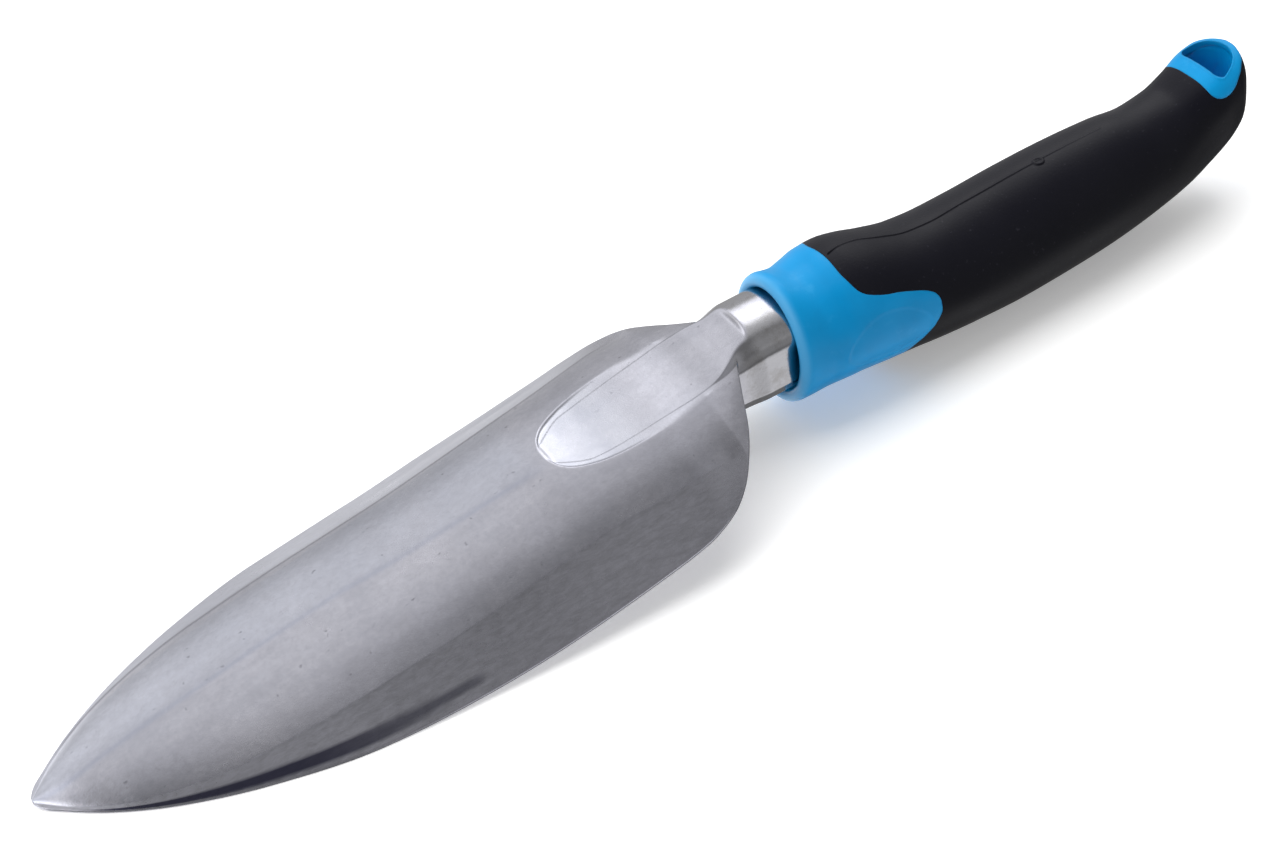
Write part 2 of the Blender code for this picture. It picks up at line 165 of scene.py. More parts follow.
# Divisions of the handle
EDGE_COLUMNS = 140
MM_PER_DEGREE = 0.29
LEAN_ROUNDS = 4
ROLL_STEPS = 8
LIP_ROWS = (0.0, 0.08, 0.18, 0.3, 0.5, 0.75, 1.0, 1.3, 1.7, 2.2, 2.8, 3.5, 4.3, 5.2, 6.4, COLLAR_LIP_LENGTH)
TONGUE_ROWS = 110
CORE_ROWS = 60
CORE_CROWDING = 0.7
GRIP_ROWS = 90
GRIP_ROWS_SHARE = 0.8
GRIP_END_ROWS = 69
INNER_GRIP_ROWS = (0.6, 0.3, 0.1, 0.0)
END_START = 318.0
END_ROWS = 60
END_CROWDING = 1.6
END_PITCH = 3.0
HOLE_ARC_POINTS = 49
SEAM_PITCH = 0.5
GATE_PITCH = 30.0
SHARP_DEGREES = 32.0

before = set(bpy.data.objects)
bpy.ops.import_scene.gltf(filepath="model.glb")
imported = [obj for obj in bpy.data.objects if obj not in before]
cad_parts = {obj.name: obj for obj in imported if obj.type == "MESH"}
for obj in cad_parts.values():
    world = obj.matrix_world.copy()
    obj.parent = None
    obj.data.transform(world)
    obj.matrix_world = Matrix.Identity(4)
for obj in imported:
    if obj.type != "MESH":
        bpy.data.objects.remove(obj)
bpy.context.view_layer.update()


def smooth(points):
    """A curve through the points with no overshoot between them."""
    xs = np.array([p[0] for p in points], float)
    ys = np.array([p[1] for p in points], float)
    step = np.diff(xs)
    slope = np.diff(ys) / step
    tangent = np.zeros(len(xs))
    for i in range(1, len(xs) - 1):
        if slope[i - 1] * slope[i] > 0:
            before = 2 * step[i] + step[i - 1]
            after = step[i] + 2 * step[i - 1]
            tangent[i] = (before + after) / (before / slope[i - 1] + after / slope[i])
    tangent[0] = slope[0]
    tangent[-1] = slope[-1]

    def value(x):
        x = np.clip(np.asarray(x, float), xs[0], xs[-1])
        i = np.clip(np.searchsorted(xs, x) - 1, 0, len(step) - 1)
        t = (x - xs[i]) / step[i]
        start = ys[i] * (1 + 2 * t) * (1 - t) ** 2 + tangent[i] * step[i] * t * (1 - t) ** 2
        end = ys[i + 1] * t * t * (3 - 2 * t) + tangent[i + 1] * step[i] * t * t * (t - 1)
        return start + end

    return value


def ease(x, low, high):
    """0 below low, 1 above high, with a soft change between."""
    t = np.clip((np.asarray(x, float) - low) / (high - low), 0, 1)
    return t * t * (3 - 2 * t)


# Rim of the blade from the tip round the shoulder to the neck: X, half width, height of the lower edge
RIM = (
    (0.0, 1.0, 0.0),
    (1.2, 3.2, 0.0),
    (5.0, 6.9, 0.0),
    (13.3, 13.7, 0.0),
    (26.6, 21.8, 0.0),
    (46.5, 30.0, 0.0),
    (70.0, 36.0, 0.0),
    (96.2, 38.4, 1.1),
    (123.0, 39.4, 4.1),
    (143.0, 39.2, 7.1),
    (156.3, 38.7, 9.6),
    (164.9, 36.9, 12.5),
    (170.2, 33.9, 15.4),
    (175.0, 28.9, 18.9),
    (178.9, 23.0, 21.6),
    (181.9, 16.6, 24.5),
    (185.6, 8.9, 28.2),
)

# Height of the blade's middle line, half width of its dome and drop of its bevel, along X
CROWN = smooth(
    (
        (0, 1.1),
        (10, 3.4),
        (20, 5.0),
        (35, 7.2),
        (65, 10.6),
        (95, 14.7),
        (125, 19.9),
        (137, 22.3),
        (147, 24.0),
        (155, 25.2),
        (165, 26.5),
        (175, 27.8),
        (181, 28.8),
        (186, 30.2),
    )
)
CREASE = smooth(
    (
        (0, 0.6),
        (8, 8.6),
        (20, 16.3),
        (35, 21.4),
        (50, 24.0),
        (80, 25.7),
        (140, 26.0),
        (160, 27.4),
        (186, 28.4),
    )
)
BEVEL_DROP = smooth(
    (
        (0, 0.1),
        (20, 0.9),
        (50, 3.2),
        (80, 6.1),
        (110, 7.8),
        (138, 8.8),
        (150, 8.4),
        (162, 6.9),
        (176, 1.0),
        (186, 0.3),
    )
)

# Boss, and the leaf-shaped hollow pressed into it, along their length: half widths and the leaf's floor
BOSS_HALF_WIDTH = smooth(
    (
        (0, 2.3),
        (3, 5),
        (10, 9),
        (30, 10.5),
        (44, 11.0),
        (50, 10.9),
        (BOSS_LENGTH, NECK_HALF_WIDTH),
    )
)
LEAF_HALF_WIDTH = smooth(
    (
        (0, 0.3),
        (0.25, 1.9),
        (0.8, 3.6),
        (1.8, 5.9),
        (4.5, 8.9),
        (8.0, 10.8),
        (11.5, 12.1),
        (19.5, 13.5),
        (27.5, 14.1),
        (36.0, 13.4),
        (41.0, 12.6),
        (BOSS_LENGTH, 12.2),
    )
)
LEAF_FLOOR = smooth(
    (
        (0, 21.65),
        (5, 21.7),
        (11, 22.05),
        (19.5, 23.1),
        (27.5, 24.35),
        (36, 25.6),
        (40, 26.35),
        (44, 27.45),
        (48, 29.1),
        (52, 30.85),
        (54, 31.6),
        (BOSS_LENGTH, 33.0),
    )
)
SHANK_UNDER = smooth(
    (
        (136, 18.4),
        (150, 20.3),
        (158, 20.6),
        (166, 18.6),
        (176, 15.0),
        (184, 13.4),
        (190, NECK_BOTTOM),
    )
)

# Handle along X: top, underside, half width, and how far its section goes from an ellipse toward a box
HANDLE_TOP = smooth(
    (
        (199.2, 35.6),
        (199.5, 36.4),
        (200.4, 37.1),
        (201.5, 37.1),
        (203.5, 36.5),
        (207, 35.7),
        (211, 36.1),
        (215, 37),
        (220, 37.5),
        (226, 36.5),
        (233, 34.3),
        (241, 32),
        (250, 31.2),
        (260, 31.5),
        (273, 32.3),
        (287, 32.7),
        (302, 32.5),
        (311.5, 31.5),
        (319.8, 32.1),
        (326.3, 34.5),
        (331.8, 37),
        (338.1, 38.2),
        (340.8, 38.3),
    )
)
HANDLE_BOTTOM_POINTS = (
    (199.2, 6.4),
    (199.5, 5.4),
    (200.4, 4.7),
    (201.5, 4.6),
    (203.5, 4.7),
    (207, 5.1),
    (211, 5.3),
    (215, 5.2),
    (220, 4.5),
    (233, 2.6),
    (250, 0.9),
    (265, 0),
    (280, 0.4),
    (300, 1.9),
    (311.5, 3.8),
    (319.8, 6.6),
    (327.2, 10.6),
    (331.8, 14.1),
    (335.7, 17.9),
    (338.6, 22.1),
    (340.2, 26.1),
    (340.8, 30.2),
)
HANDLE_BOTTOM = smooth(HANDLE_BOTTOM_POINTS)
HANDLE_HALF = smooth(
    (
        (199.2, 14.3),
        (199.5, 15.0),
        (200.4, 15.9),
        (201.5, 16.3),
        (203.5, 16.4),
        (207, 16.6),
        (211, 17.4),
        (215, 18),
        (222, 18),
        (233, 17.1),
        (250, 16.8),
        (270, 16.5),
        (290, 15.8),
        (309.7, 13.8),
        (327.2, 11.3),
        (331.8, 11.5),
        (335.7, 11),
        (338.6, 8.9),
        (340.2, 5.9),
        (340.8, 3.4),
    )
)
SQUARENESS = smooth(((199.2, 2.0), (309.7, 2.0), (328.1, 3.0), (340.8, 3.4)))

# Edge between the hard collar with its side tongue and the soft grip: angle from the side, X
TONGUE = (
    (90, 217.3),
    (79, 217.2),
    (69, 217.1),
    (58, 217.6),
    (49, 218.3),
    (42.5, 219.7),
    (38.5, 221.9),
    (36, 224.5),
    (34, 228.4),
    (31.5, 232.3),
    (28.5, 235.6),
    (24, 237.6),
    (17, 238.3),
    (8, 238.1),
    (-1, 236.8),
    (-11.5, 234.5),
    (-22.5, 231.6),
    (-35, 229),
    (-50, 227.2),
    (-65, 226),
    (-78, 225.2),
    (-90, 225),
)

# Side view of the hard ring that shows round the hang hole: X, Z
RING_EDGE = (
    (327.3, 46.0),
    (327.3, 34.4),
    (327.6, 33.0),
    (328.6, 32.1),
    (330.2, 31.9),
    (332.1, 32.5),
    (334.0, 33.8),
    (336.0, 35.5),
    (338.5, 36.8),
    (342.0, 37.3),
    (352.0, 37.8),
)

# Round corner at the front of the hang hole, as shares of its size: back from the front, in from the side
HOLE_CORNER_STEPS = ((0.0, 1.0), (0.05, 0.7), (0.17, 0.4), (0.32, 0.19))

# Parting line: X, Y
SEAM_WAY = smooth(
    (
        (218, -0.3),
        (222, 0.4),
        (226, 0.7),
        (231, 0.2),
        (238, -0.4),
        (247, -0.2),
        (258, 0.3),
        (272, 0.1),
        (300, 0.0),
    )
)

# Painted shade: a dark line along the middle of the back: X, Y
SHADE_LINE_WAY = smooth(
    (
        (0, -1.0),
        (8, -2.4),
        (20, -1.5),
        (46, -0.3),
        (60, 0.6),
        (78, 0.8),
        (95, -0.6),
        (113, -1.7),
        (137, -3.5),
        (190, -6),
    )
)

DRAWN_LENGTH = HANDLE_BOTTOM_POINTS[-1][0]
COLLAR_FRONT = HANDLE_BOTTOM_POINTS[0][0]
COLLAR_BACK = COLLAR_FRONT + COLLAR_LIP_LENGTH
HOLE_FRONT = DRAWN_LENGTH - HOLE_WALL - HOLE_LENGTH

# Where each finish and each painted shade, highlight and reflection of the casting begins and ends along X,
# or its half width and the fade at its edge
OVER_LEAF = (0.05, 0.5)
BELOW_LEAF = (0.1, 0.6)
# The leaf's paler, duller finish carries a painted highlight too; both fade out toward its back
LEAF_FINISH_AND_HIGHLIGHT_FADE = (BOSS_START + 14.0, BOSS_START + 30.0)
LEAF_FINISH_AND_HIGHLIGHT_FADE_SHARE = 0.9
NECK_RUB = (181.0, 189.0)
BACK_END = (BOSS_START - 8.0, BOSS_START + 2.0)
BACK_SHARE = 0.8
BACK_ALLOWANCE = 2.0
SHADE_LINE_HALF_WIDTH = 0.9
FAR_FADE = (-1.5, 1.5)
CREASE_LINE_HALF_WIDTH = 0.6
CREASE_LINE_START = (4.0, 20.0)
CREASE_LINE_END = (160.0, 172.0)
NEAR_CREASE_SHARE = 0.1
FAR_BEVEL_EDGE = (-0.3, 0.1)
FAR_BEVEL_END = (150.0, 172.0)
GROUND_END = (160.0, 176.0)
LEAST_UPWARD = 0.05

# Painted dark reflection in a streak along the near bevel: its middle, half width and soft edge are shares
# of the bevel
STREAK_END = 99.0
STREAK_MIDDLE = 0.75
STREAK_HALF_WIDTH = 0.17
STREAK_SOFT_EDGE = 0.09
STREAK_TAPER = 2.5
STREAK_START_FADE = (6.0, 16.0)
STREAK_END_FADE = (STREAK_END - 3.0, STREAK_END + 1.0)
STREAK_PALE = (50.0, 90.0)
STREAK_PALE_SHARE = 0.35
NARROWEST_BEVEL = 0.5

# Painted highlight on the collar's lip: how far back it reaches, and the rim of the mouth where it begins
LIP_BACK = (0.4, 2.2)
LIP_OUT = (0.98, 1.04)
LIP_GROWTH = 1.0


def placed(points):
    """Millimetres from the tip as metres from the middle of the tool."""
    points = np.asarray(points, float).copy()
    points[..., 0] = (points[..., 0] - DRAWN_LENGTH / 2) * LENGTH / DRAWN_LENGTH
    return points * MM


def mark_sharp(body, first, second):
    """Makes the edge between two vertices a sharp one, where there is such an edge."""
    edge = body.edges.get((body.verts[first], body.verts[second]))
    if edge:
        edge.smooth = False


def grid_mesh(name, rings, closed=True, caps=(False, False), sharp_columns=(), sharp_rows=()):
    """Quads through the rings, which all hold the same number of points.

    A sharp column is its number, or its number with the row where the sharpness ends.
    """
    rings = placed(np.asarray(rings, float))
    rows, count = rings.shape[:2]
    points = rings.reshape(-1, 3)
    faces = []
    last = count if closed else count - 1
    for r in range(rows - 1):
        for i in range(last):
            j = (i + 1) % count
            faces.append((r * count + i, r * count + j, (r + 1) * count + j, (r + 1) * count + i))
    if caps[0]:
        faces.append(tuple(range(count))[::-1])
    if caps[1]:
        faces.append(tuple((rows - 1) * count + i for i in range(count)))
    mesh = bpy.data.meshes.new(name)
    mesh.from_pydata([tuple(p) for p in points], [], faces)
    mesh.update()
    body = bmesh.new()
    body.from_mesh(mesh)
    body.verts.ensure_lookup_table()
    for column in sharp_columns:
        column, end = column if isinstance(column, tuple) else (column, rows - 1)
        for r in range(end):
            mark_sharp(body, r * count + column, (r + 1) * count + column)
    for row in sharp_rows:
        for i in range(last):
            mark_sharp(body, row * count + i, row * count + (i + 1) % count)
    bmesh.ops.remove_doubles(body, verts=body.verts, dist=SAME_POINT)
    bmesh.ops.recalc_face_normals(body, faces=body.faces)
    for face in body.faces:
        face.smooth = True
    body.to_mesh(mesh)
    body.free()
    return mesh


def joined(name, meshes):
    """One object that holds all the meshes."""
    whole = bmesh.new()
    for mesh in meshes:
        whole.from_mesh(mesh)
    made = bpy.data.meshes.new(name)
    whole.to_mesh(made)
    whole.free()
    obj = bpy.data.objects.new(name, made)
    bpy.context.scene.collection.objects.link(obj)
    return obj


# The blade with its shank


def rim_at(count):
    """X, half width and height of the rim at this many places, which lie closer together near both ends."""
    rim = np.array(RIM)
    path = np.concatenate([[0], np.cumsum(np.linalg.norm(np.diff(rim, axis=0), axis=1))])
    share = np.linspace(0, 1, count)
    crowded = share.copy()
    for number, crowding in enumerate(RIM_CROWDING, 1):
        crowded -= crowding * np.sin(2 * number * np.pi * share)
    return [smooth(list(zip(path, rim[:, k])))(path[-1] * crowded) for k in range(3)]


def leaf_height(y, floor):
    """Height of the leaf's floor, which curves up a little to its sides."""
    return floor + LEAF_CURVE * y**2


def leaf_reach(x, y):
    """1 inside the leaf's outline, 0 outside it, with a soft change at its wall."""
    across = ease(LEAF_HALF_WIDTH(x - BOSS_START) - y, 0, LEAF_WALL)
    return across * ease(x, BOSS_START, BOSS_START + NOSE_WALL)


def lower_of(a, b):
    """The lower of two heights, with a soft change from one to the other."""
    return (a + b - np.sqrt((a - b) ** 2 + BLEND**2)) / 2


def dished(x, y, dome):
    """Height of the blade's back with the leaf-shaped hollow pressed into it."""
    ahead = x - BOSS_START
    if ahead < 0:
        return dome
    under = SHELL_UNDER * float(ease(ahead, SHELL_DIP, SHELL_DIP_END))
    floor = leaf_height(y, float(LEAF_FLOOR(ahead))) - under
    return dome + (min(lower_of(dome, floor), dome) - dome) * float(leaf_reach(x, y))


def columns(x, crease):
    """Half of the places across the dome, from its middle, that crowd along the leaf's edge."""
    spread = OPEN_SPREAD * crease
    near = float(ease(x, BOSS_START - LEAF_APPROACH, BOSS_START))
    edge = spread + (float(LEAF_HALF_WIDTH(x - BOSS_START)) - spread) * near
    edge = min(edge, MOST_SPREAD * crease)
    wall = edge - min(LEAF_WALL, MOST_WALL * edge)
    inner = wall * np.arange(LEAF_STEPS) / LEAF_STEPS
    rise = wall + (edge - wall) * np.arange(WALL_STEPS) / WALL_STEPS
    flank = edge + (crease - edge) * np.arange(FLANK_STEPS + 1) / FLANK_STEPS
    return np.concatenate([inner, rise, flank])


def crease_at(x, half):
    """Half width of the dome, which runs out softly into the rim at both ends."""
    wide = float(CREASE(x))
    most = half - LEAST_BEVEL
    return (wide + most - math.hypot(wide - most, CREASE_FADE * half)) / 2


def blade_section(x, half, low):
    """Closed section of the shell: bevels and dome from side to side, then the hollow back again."""
    top = low + RIM_THICKNESS
    crease = crease_at(x, half)
    shoulder = top + float(BEVEL_DROP(x)) * min(1.0, (half - crease) / FULL_BEVEL)
    crown = float(CROWN(x))
    inner = low + max(crown - low - BLADE_THICKNESS, LEAST_HOLLOW * (crown - low - RIM_THICKNESS))
    back = []
    for i in range(BEVEL_STEPS):
        t = i / BEVEL_STEPS
        back.append((half + (crease - half) * t, top + (shoulder - top) * t))
    for y in columns(x, crease)[::-1]:
        back.append((y, dished(x, y, crown - (crown - shoulder) * (y / crease) ** 2)))
    back += [(-y, z) for y, z in back[-2::-1]]
    hollow = []
    for y, _ in back[::-1]:
        hollow.append((y, low + (inner - low) * (1 - abs(y / half) ** HOLLOW_POWER)))
    return [(x, y, z) for y, z in back + hollow]


def blade_shell():
    """The scoop, with extra rows across the leaf's nose."""
    x, half, low = rim_at(BLADE_STATIONS)
    nose_rows = np.arange(NOSE_ROWS_START, NOSE_ROWS_END, NOSE_ROW_PITCH)
    rings = []
    for station in np.union1d(x, nose_rows):
        rings.append(blade_section(station, np.interp(station, x, half), np.interp(station, x, low)))
    back = 2 * (BEVEL_STEPS + LEAF_STEPS + WALL_STEPS + FLANK_STEPS) + 1
    creased = sum(ring[0][0] < CREASE_END for ring in rings)
    creases = ((BEVEL_STEPS, creased), (back - 1 - BEVEL_STEPS, creased))
    sharp = (0, *creases, back - 1, back, 2 * back - 1)
    return grid_mesh("shell", rings, caps=(True, True), sharp_columns=sharp, sharp_rows=(0, len(rings) - 1))


def bar_section(x, half, top, edge, flat_bottom, bottom, squareness, limit):
    """Arched bar with chamfered lower edges, whose top stays under the leaf's floor."""
    arch = []
    for i in range(ARCH_STEPS + 1):
        angle = np.pi / 2 * i / ARCH_STEPS
        y = half * max(np.cos(angle), 0.0) ** (2 / squareness)
        z = edge + (top - edge) * np.sin(angle) ** (2 / squareness)
        arch.append((y, lower_of(z, leaf_height(y, limit))))
    arch += [(-y, z) for y, z in arch[-2::-1]]
    flat = half - NECK_CHAMFER
    lower = [(-half, flat_bottom), (-flat, bottom), (flat, bottom), (half, flat_bottom)]
    return [(x, y, z) for y, z in arch + lower]


def boss_section(x):
    """Section of the boss or the neck at X."""
    ahead = x - BOSS_START
    half = float(BOSS_HALF_WIDTH(ahead))
    limit = float(LEAF_FLOOR(ahead)) - UNDER_LEAF
    limit += LEAF_RELEASE * float(ease(ahead, RELEASE_START, RELEASE_END))
    neck = float(ease(x, ROOT_START, ROOT_END))
    top = ROOT_TOP + (NECK_TOP - ROOT_TOP) * neck
    edge = ROOT_EDGE + (NECK_EDGE - ROOT_EDGE) * neck
    squareness = ROOT_SQUARENESS + (ARCH_SQUARENESS - ROOT_SQUARENESS) * neck
    edge = min(edge, leaf_height(half, limit) - EDGE_UNDER_LEAF)
    bottom = float(SHANK_UNDER(x))
    flat_bottom = min(bottom + NECK_FLAT_BOTTOM - NECK_BOTTOM, edge - LEAST_SIDE)
    bottom = min(bottom, flat_bottom - LEAST_CHAMFER)
    return bar_section(x, half, top, edge, flat_bottom, bottom, squareness, limit)


def shank():
    """Boss and neck, down into the collar's mouth."""
    boss_rows = np.linspace(BOSS_START, BOSS_ROWS_END, BOSS_ROWS)
    neck_rows = np.arange(BOSS_ROWS_END + NECK_ROW_PITCH, NECK_ROWS_END, NECK_ROW_PITCH)
    rings = [boss_section(x) for x in np.concatenate([boss_rows, neck_rows, HIDDEN_NECK_ROWS])]
    arch = 2 * ARCH_STEPS + 1
    sharp = (0, arch - 1, arch, arch + 1, arch + 2, arch + 3)
    return grid_mesh("shank", rings, caps=(True, True), sharp_columns=sharp, sharp_rows=(0,))


# The handle


def surface(x, angle, inset=0.0):
    """Point of the handle's surface, or inset below it; angle 0 is the far side and 90 the top."""
    turn = np.radians(angle)
    top = float(HANDLE_TOP(x))
    bottom = float(HANDLE_BOTTOM(x))
    power = 2 / float(SQUARENESS(x))
    height = (top - bottom) / 2 - inset
    half = float(HANDLE_HALF(x)) - inset
    y = half * np.sign(np.cos(turn)) * abs(np.cos(turn)) ** power
    z = height * np.sign(np.sin(turn)) * abs(np.sin(turn)) ** power
    lean = COLLAR_TILT * z * (1 - ease(x, COLLAR_FRONT, COLLAR_FRONT + TILT_FADE))
    back = inset * float(ease(x, BUTT_START, DRAWN_LENGTH))
    return x + lean - back, y, z + (top + bottom) / 2


def tongue_columns(count):
    """(angle, X) of the tongue's edge all the way round, in count columns on each side."""
    angles, places = np.array(TONGUE).T
    run = np.concatenate([[0], np.cumsum(np.hypot(np.diff(angles) * MM_PER_DEGREE, np.diff(places)))])
    t = np.linspace(0, run[-1], count)
    side = list(zip(smooth(list(zip(run, angles)))(t), smooth(list(zip(run, places)))(t)))
    other = [(180 - angle, x) for angle, x in side[-2:0:-1]]
    return side + other


def unlean(x, angle):
    """Station whose leaning section passes X at this angle."""
    station = x
    for _ in range(LEAN_ROUNDS):
        station += x - surface(station, angle)[0]
    return station


def skin(x, angle):
    """Point of the handle's surface with the thumb oval pressed into both sides."""
    above = np.degrees(np.arcsin(np.sin(np.radians(angle))))
    away = np.hypot((x - OVAL_X) / OVAL_HALF_LENGTH, (above - OVAL_ANGLE) / OVAL_HALF_ANGLE)
    edge = OVAL_EDGE * math.exp(-(((away - 1.0) / OVAL_EDGE_WIDTH) ** 2))
    return surface(x, angle, OVAL_DEPTH * (1 - float(ease(away, *OVAL_WALL))) - edge)


def grip_thickness(x):
    """Thickness of the soft layer, which thins toward the handle's end."""
    thinned = float(ease(x, THINNING_START, THINNING_END))
    return GRIP_THICKNESS + (GRIP_END_THICKNESS - GRIP_THICKNESS) * thinned


EDGE = [(angle, unlean(x, angle)) for angle, x in tongue_columns(EDGE_COLUMNS)]


def mouth_point(angle, depth, grow=0.0):
    """Point of the mouth's inner wall at this depth behind the collar's front."""
    turn = np.radians(angle)
    z = (MOUTH_HALF_HEIGHT + grow) * np.sin(turn)
    x = COLLAR_FRONT + depth + COLLAR_TILT * z
    return x, (MOUTH_HALF_WIDTH + grow) * np.cos(turn), MOUTH_HEIGHT + z


def collar():
    """Mouth, rolled lip, collar and tongues, down to the step under the grip."""
    rings = []
    for depth in (MOUTH_DEPTH, MOUTH_MIDDLE, ROLL_LENGTH):
        rings.append([mouth_point(angle, depth) for angle, _ in EDGE])
    for i in range(1, ROLL_STEPS + 1):
        turn = np.pi / 2 * i / ROLL_STEPS
        depth = ROLL_LENGTH * (1 - np.sin(turn))
        rings.append([mouth_point(angle, depth, ROLL_GROWTH * (1 - np.cos(turn))) for angle, _ in EDGE])
    for row in LIP_ROWS:
        rings.append([surface(COLLAR_FRONT + row, angle) for angle, _ in EDGE])
    for t in np.linspace(0, 1, TONGUE_ROWS + 1)[1:]:
        rings.append([skin(COLLAR_BACK + (x - COLLAR_BACK) * t, angle) for angle, x in EDGE])
    rings.append([surface(x, angle, STEP_UNDER_GRIP) for angle, x in EDGE])
    return grid_mesh("collar", rings, sharp_rows=(len(rings) - 2,))


def buried_core():
    """The core from under the tongues to the handle's end, just below the grip."""
    rings = []
    for t in np.linspace(0, 1, CORE_ROWS) ** CORE_CROWDING:
        ring = []
        for angle, x in EDGE:
            start = x - CORE_START
            station = start + (DRAWN_LENGTH - start) * t
            ring.append(surface(station, angle, grip_thickness(station) + CORE_GAP))
        rings.append(ring)
    return grid_mesh("buried_core", rings, caps=(True, True))


def prism(name, outline, low, high, across):
    """A cutter: an outline in side view drawn out across the tool, or one from above drawn out upward."""
    start = [(x, low, other) if across else (x, other, low) for x, other in outline]
    end = [(x, high, other) if across else (x, other, high) for x, other in outline]
    return bpy.data.objects.new(name, grid_mesh(name, [start, end], caps=(True, True)))


def boolean_mesh(mesh, cutters):
    """The mesh after the Boolean steps, with its sharp edges marked by angle."""
    obj = bpy.data.objects.new("work", mesh)
    bpy.context.scene.collection.objects.link(obj)
    for cutter, operation in cutters:
        bpy.context.scene.collection.objects.link(cutter)
        step = obj.modifiers.new("step", "BOOLEAN")
        step.operation = operation
        step.solver = "EXACT"
        step.object = cutter
    bpy.context.view_layer.update()
    graph = bpy.context.evaluated_depsgraph_get()
    made = bpy.data.meshes.new_from_object(obj.evaluated_get(graph))
    bpy.data.objects.remove(obj)
    for cutter, _ in cutters:
        bpy.data.objects.remove(cutter)
    body = bmesh.new()
    body.from_mesh(made)
    for edge in body.edges:
        edge.smooth = not (edge.is_manifold and edge.calc_face_angle(0) > math.radians(SHARP_DEGREES))
    for face in body.faces:
        face.smooth = True
    body.to_mesh(made)
    body.free()
    return made


def dense(outline, parts=6):
    """A rounded path through the outline's points."""
    pts = np.array(outline, float)
    out = []
    for k in range(len(pts) - 1):
        before = pts[max(k - 1, 0)]
        after = pts[min(k + 2, len(pts) - 1)]
        for t in np.arange(parts) / parts:
            a = 2 * pts[k]
            b = pts[k + 1] - before
            c = 2 * before - 5 * pts[k] + 4 * pts[k + 1] - after
            d = -before + 3 * pts[k] - 3 * pts[k + 1] + after
            out.append(tuple(0.5 * (a + b * t + c * t * t + d * t**3)))
    out.append(tuple(pts[-1]))
    return out


def ring_cutter(grow=0.0):
    """Everything above and behind the ring's edge, grown by this much."""
    edge = np.array([RING_EDGE[0]] + dense(RING_EDGE[1:]))
    run = np.gradient(edge, axis=0)
    length = np.hypot(run[:, 0], run[:, 1])
    out = np.stack([run[:, 1] / length, -run[:, 0] / length], axis=-1)
    outline = list(map(tuple, edge + grow * out)) + [(RING_EDGE[-1][0], RING_EDGE[0][1])]
    return prism("ring_edge", outline, -CUTTER_SIDE, CUTTER_SIDE, True)


def hole_cutter(grow=0.0, extra=0.0):
    """The D-shaped hang hole, grown by this much and drawn out this much further at both ends."""
    front = HOLE_FRONT - grow
    half = HOLE_HALF_WIDTH + grow
    corner = []
    for back, inward in HOLE_CORNER_STEPS:
        corner.append((front + back * HOLE_CORNER, -half + inward * HOLE_CORNER))
    arc = []
    for angle in np.radians(np.linspace(-HOLE_ARC, HOLE_ARC, HOLE_ARC_POINTS)):
        arc.append((front + (HOLE_LENGTH + 2 * grow) * np.cos(angle), half * np.sin(angle)))
    outline = corner + arc + [(x, -y) for x, y in corner[::-1]]
    return prism("hole", outline, CUTTER_BOTTOM - extra, CUTTER_TOP + extra, False)


def handle_end(name, inset=0.0):
    """The end of the handle, or a surface that lies inset below it."""
    angles = np.arange(0, 360, END_PITCH)
    left = (1 - np.linspace(0, 1, END_ROWS)) ** END_CROWDING
    rings = []
    for x in DRAWN_LENGTH - (DRAWN_LENGTH - END_START) * left:
        rings.append([surface(x, angle, inset) for angle in angles])
    return grid_mesh(name, rings, caps=(True, True))


def ring_mesh():
    """The hard ring round the hang hole."""
    return boolean_mesh(handle_end("ring"), [(ring_cutter(), "INTERSECT"), (hole_cutter(), "DIFFERENCE")])


def sleeve_mesh():
    """The core's wall inside the hang hole."""
    outside = hole_cutter(SLEEVE_WALL)
    inside = hole_cutter(SLEEVE_CLEARANCE, CUTTER_EXTRA)
    return boolean_mesh(handle_end("sleeve", SLEEVE_INSET), [(outside, "INTERSECT"), (inside, "DIFFERENCE")])


def core_mesh():
    """The core under the grip, with the hang hole through it."""
    return boolean_mesh(buried_core(), [(hole_cutter(), "DIFFERENCE")])


def grip_mesh():
    """The soft layer, with the ring and the hang hole cut out of it."""
    rings = []
    for t in INNER_GRIP_ROWS:
        ring = []
        for angle, x in EDGE:
            station = x + (DRAWN_LENGTH - x) * t
            ring.append(surface(station, angle, grip_thickness(station)))
        rings.append(ring)
    rows = np.linspace(0, GRIP_ROWS_SHARE, GRIP_ROWS)
    left = (1 - GRIP_ROWS_SHARE) * (1 - np.linspace(0, 1, GRIP_END_ROWS + 1)[1:]) ** END_CROWDING
    for t in np.concatenate([rows, 1 - left]):
        rings.append([surface(x + (DRAWN_LENGTH - x) * t, angle) for angle, x in EDGE])
    skin_mesh = grid_mesh("grip_skin", rings, caps=(True, True))
    hole = hole_cutter(SLEEVE_WALL - SKIN_GAP)
    return boolean_mesh(skin_mesh, [(ring_cutter(SKIN_GAP), "DIFFERENCE"), (hole, "DIFFERENCE")])


def top_at(x, y):
    """Height of the grip's top a little beside its middle."""
    return float(HANDLE_TOP(x)) - 0.5 * y * y / float(HANDLE_HALF(x))


def seam_mesh():
    """The mould's parting line: a fine raised thread along the top of the grip."""
    rings = []
    for x in np.arange(SEAM_START, SEAM_END, SEAM_PITCH):
        y = float(SEAM_WAY(x))
        z = top_at(x, y) + SEAM_RISE * (1 - float(ease(x, SEAM_FADE_START, SEAM_FADE_END)))
        sides = [(x, y + side * SEAM_HALF_WIDTH, z - SEAM_HALF_WIDTH) for side in (-1, 1)]
        rings.append([sides[0], (x, y, z), sides[1], (x, y, z - SEAM_ROOT)])
    return grid_mesh("seam", rings, caps=(True, True))


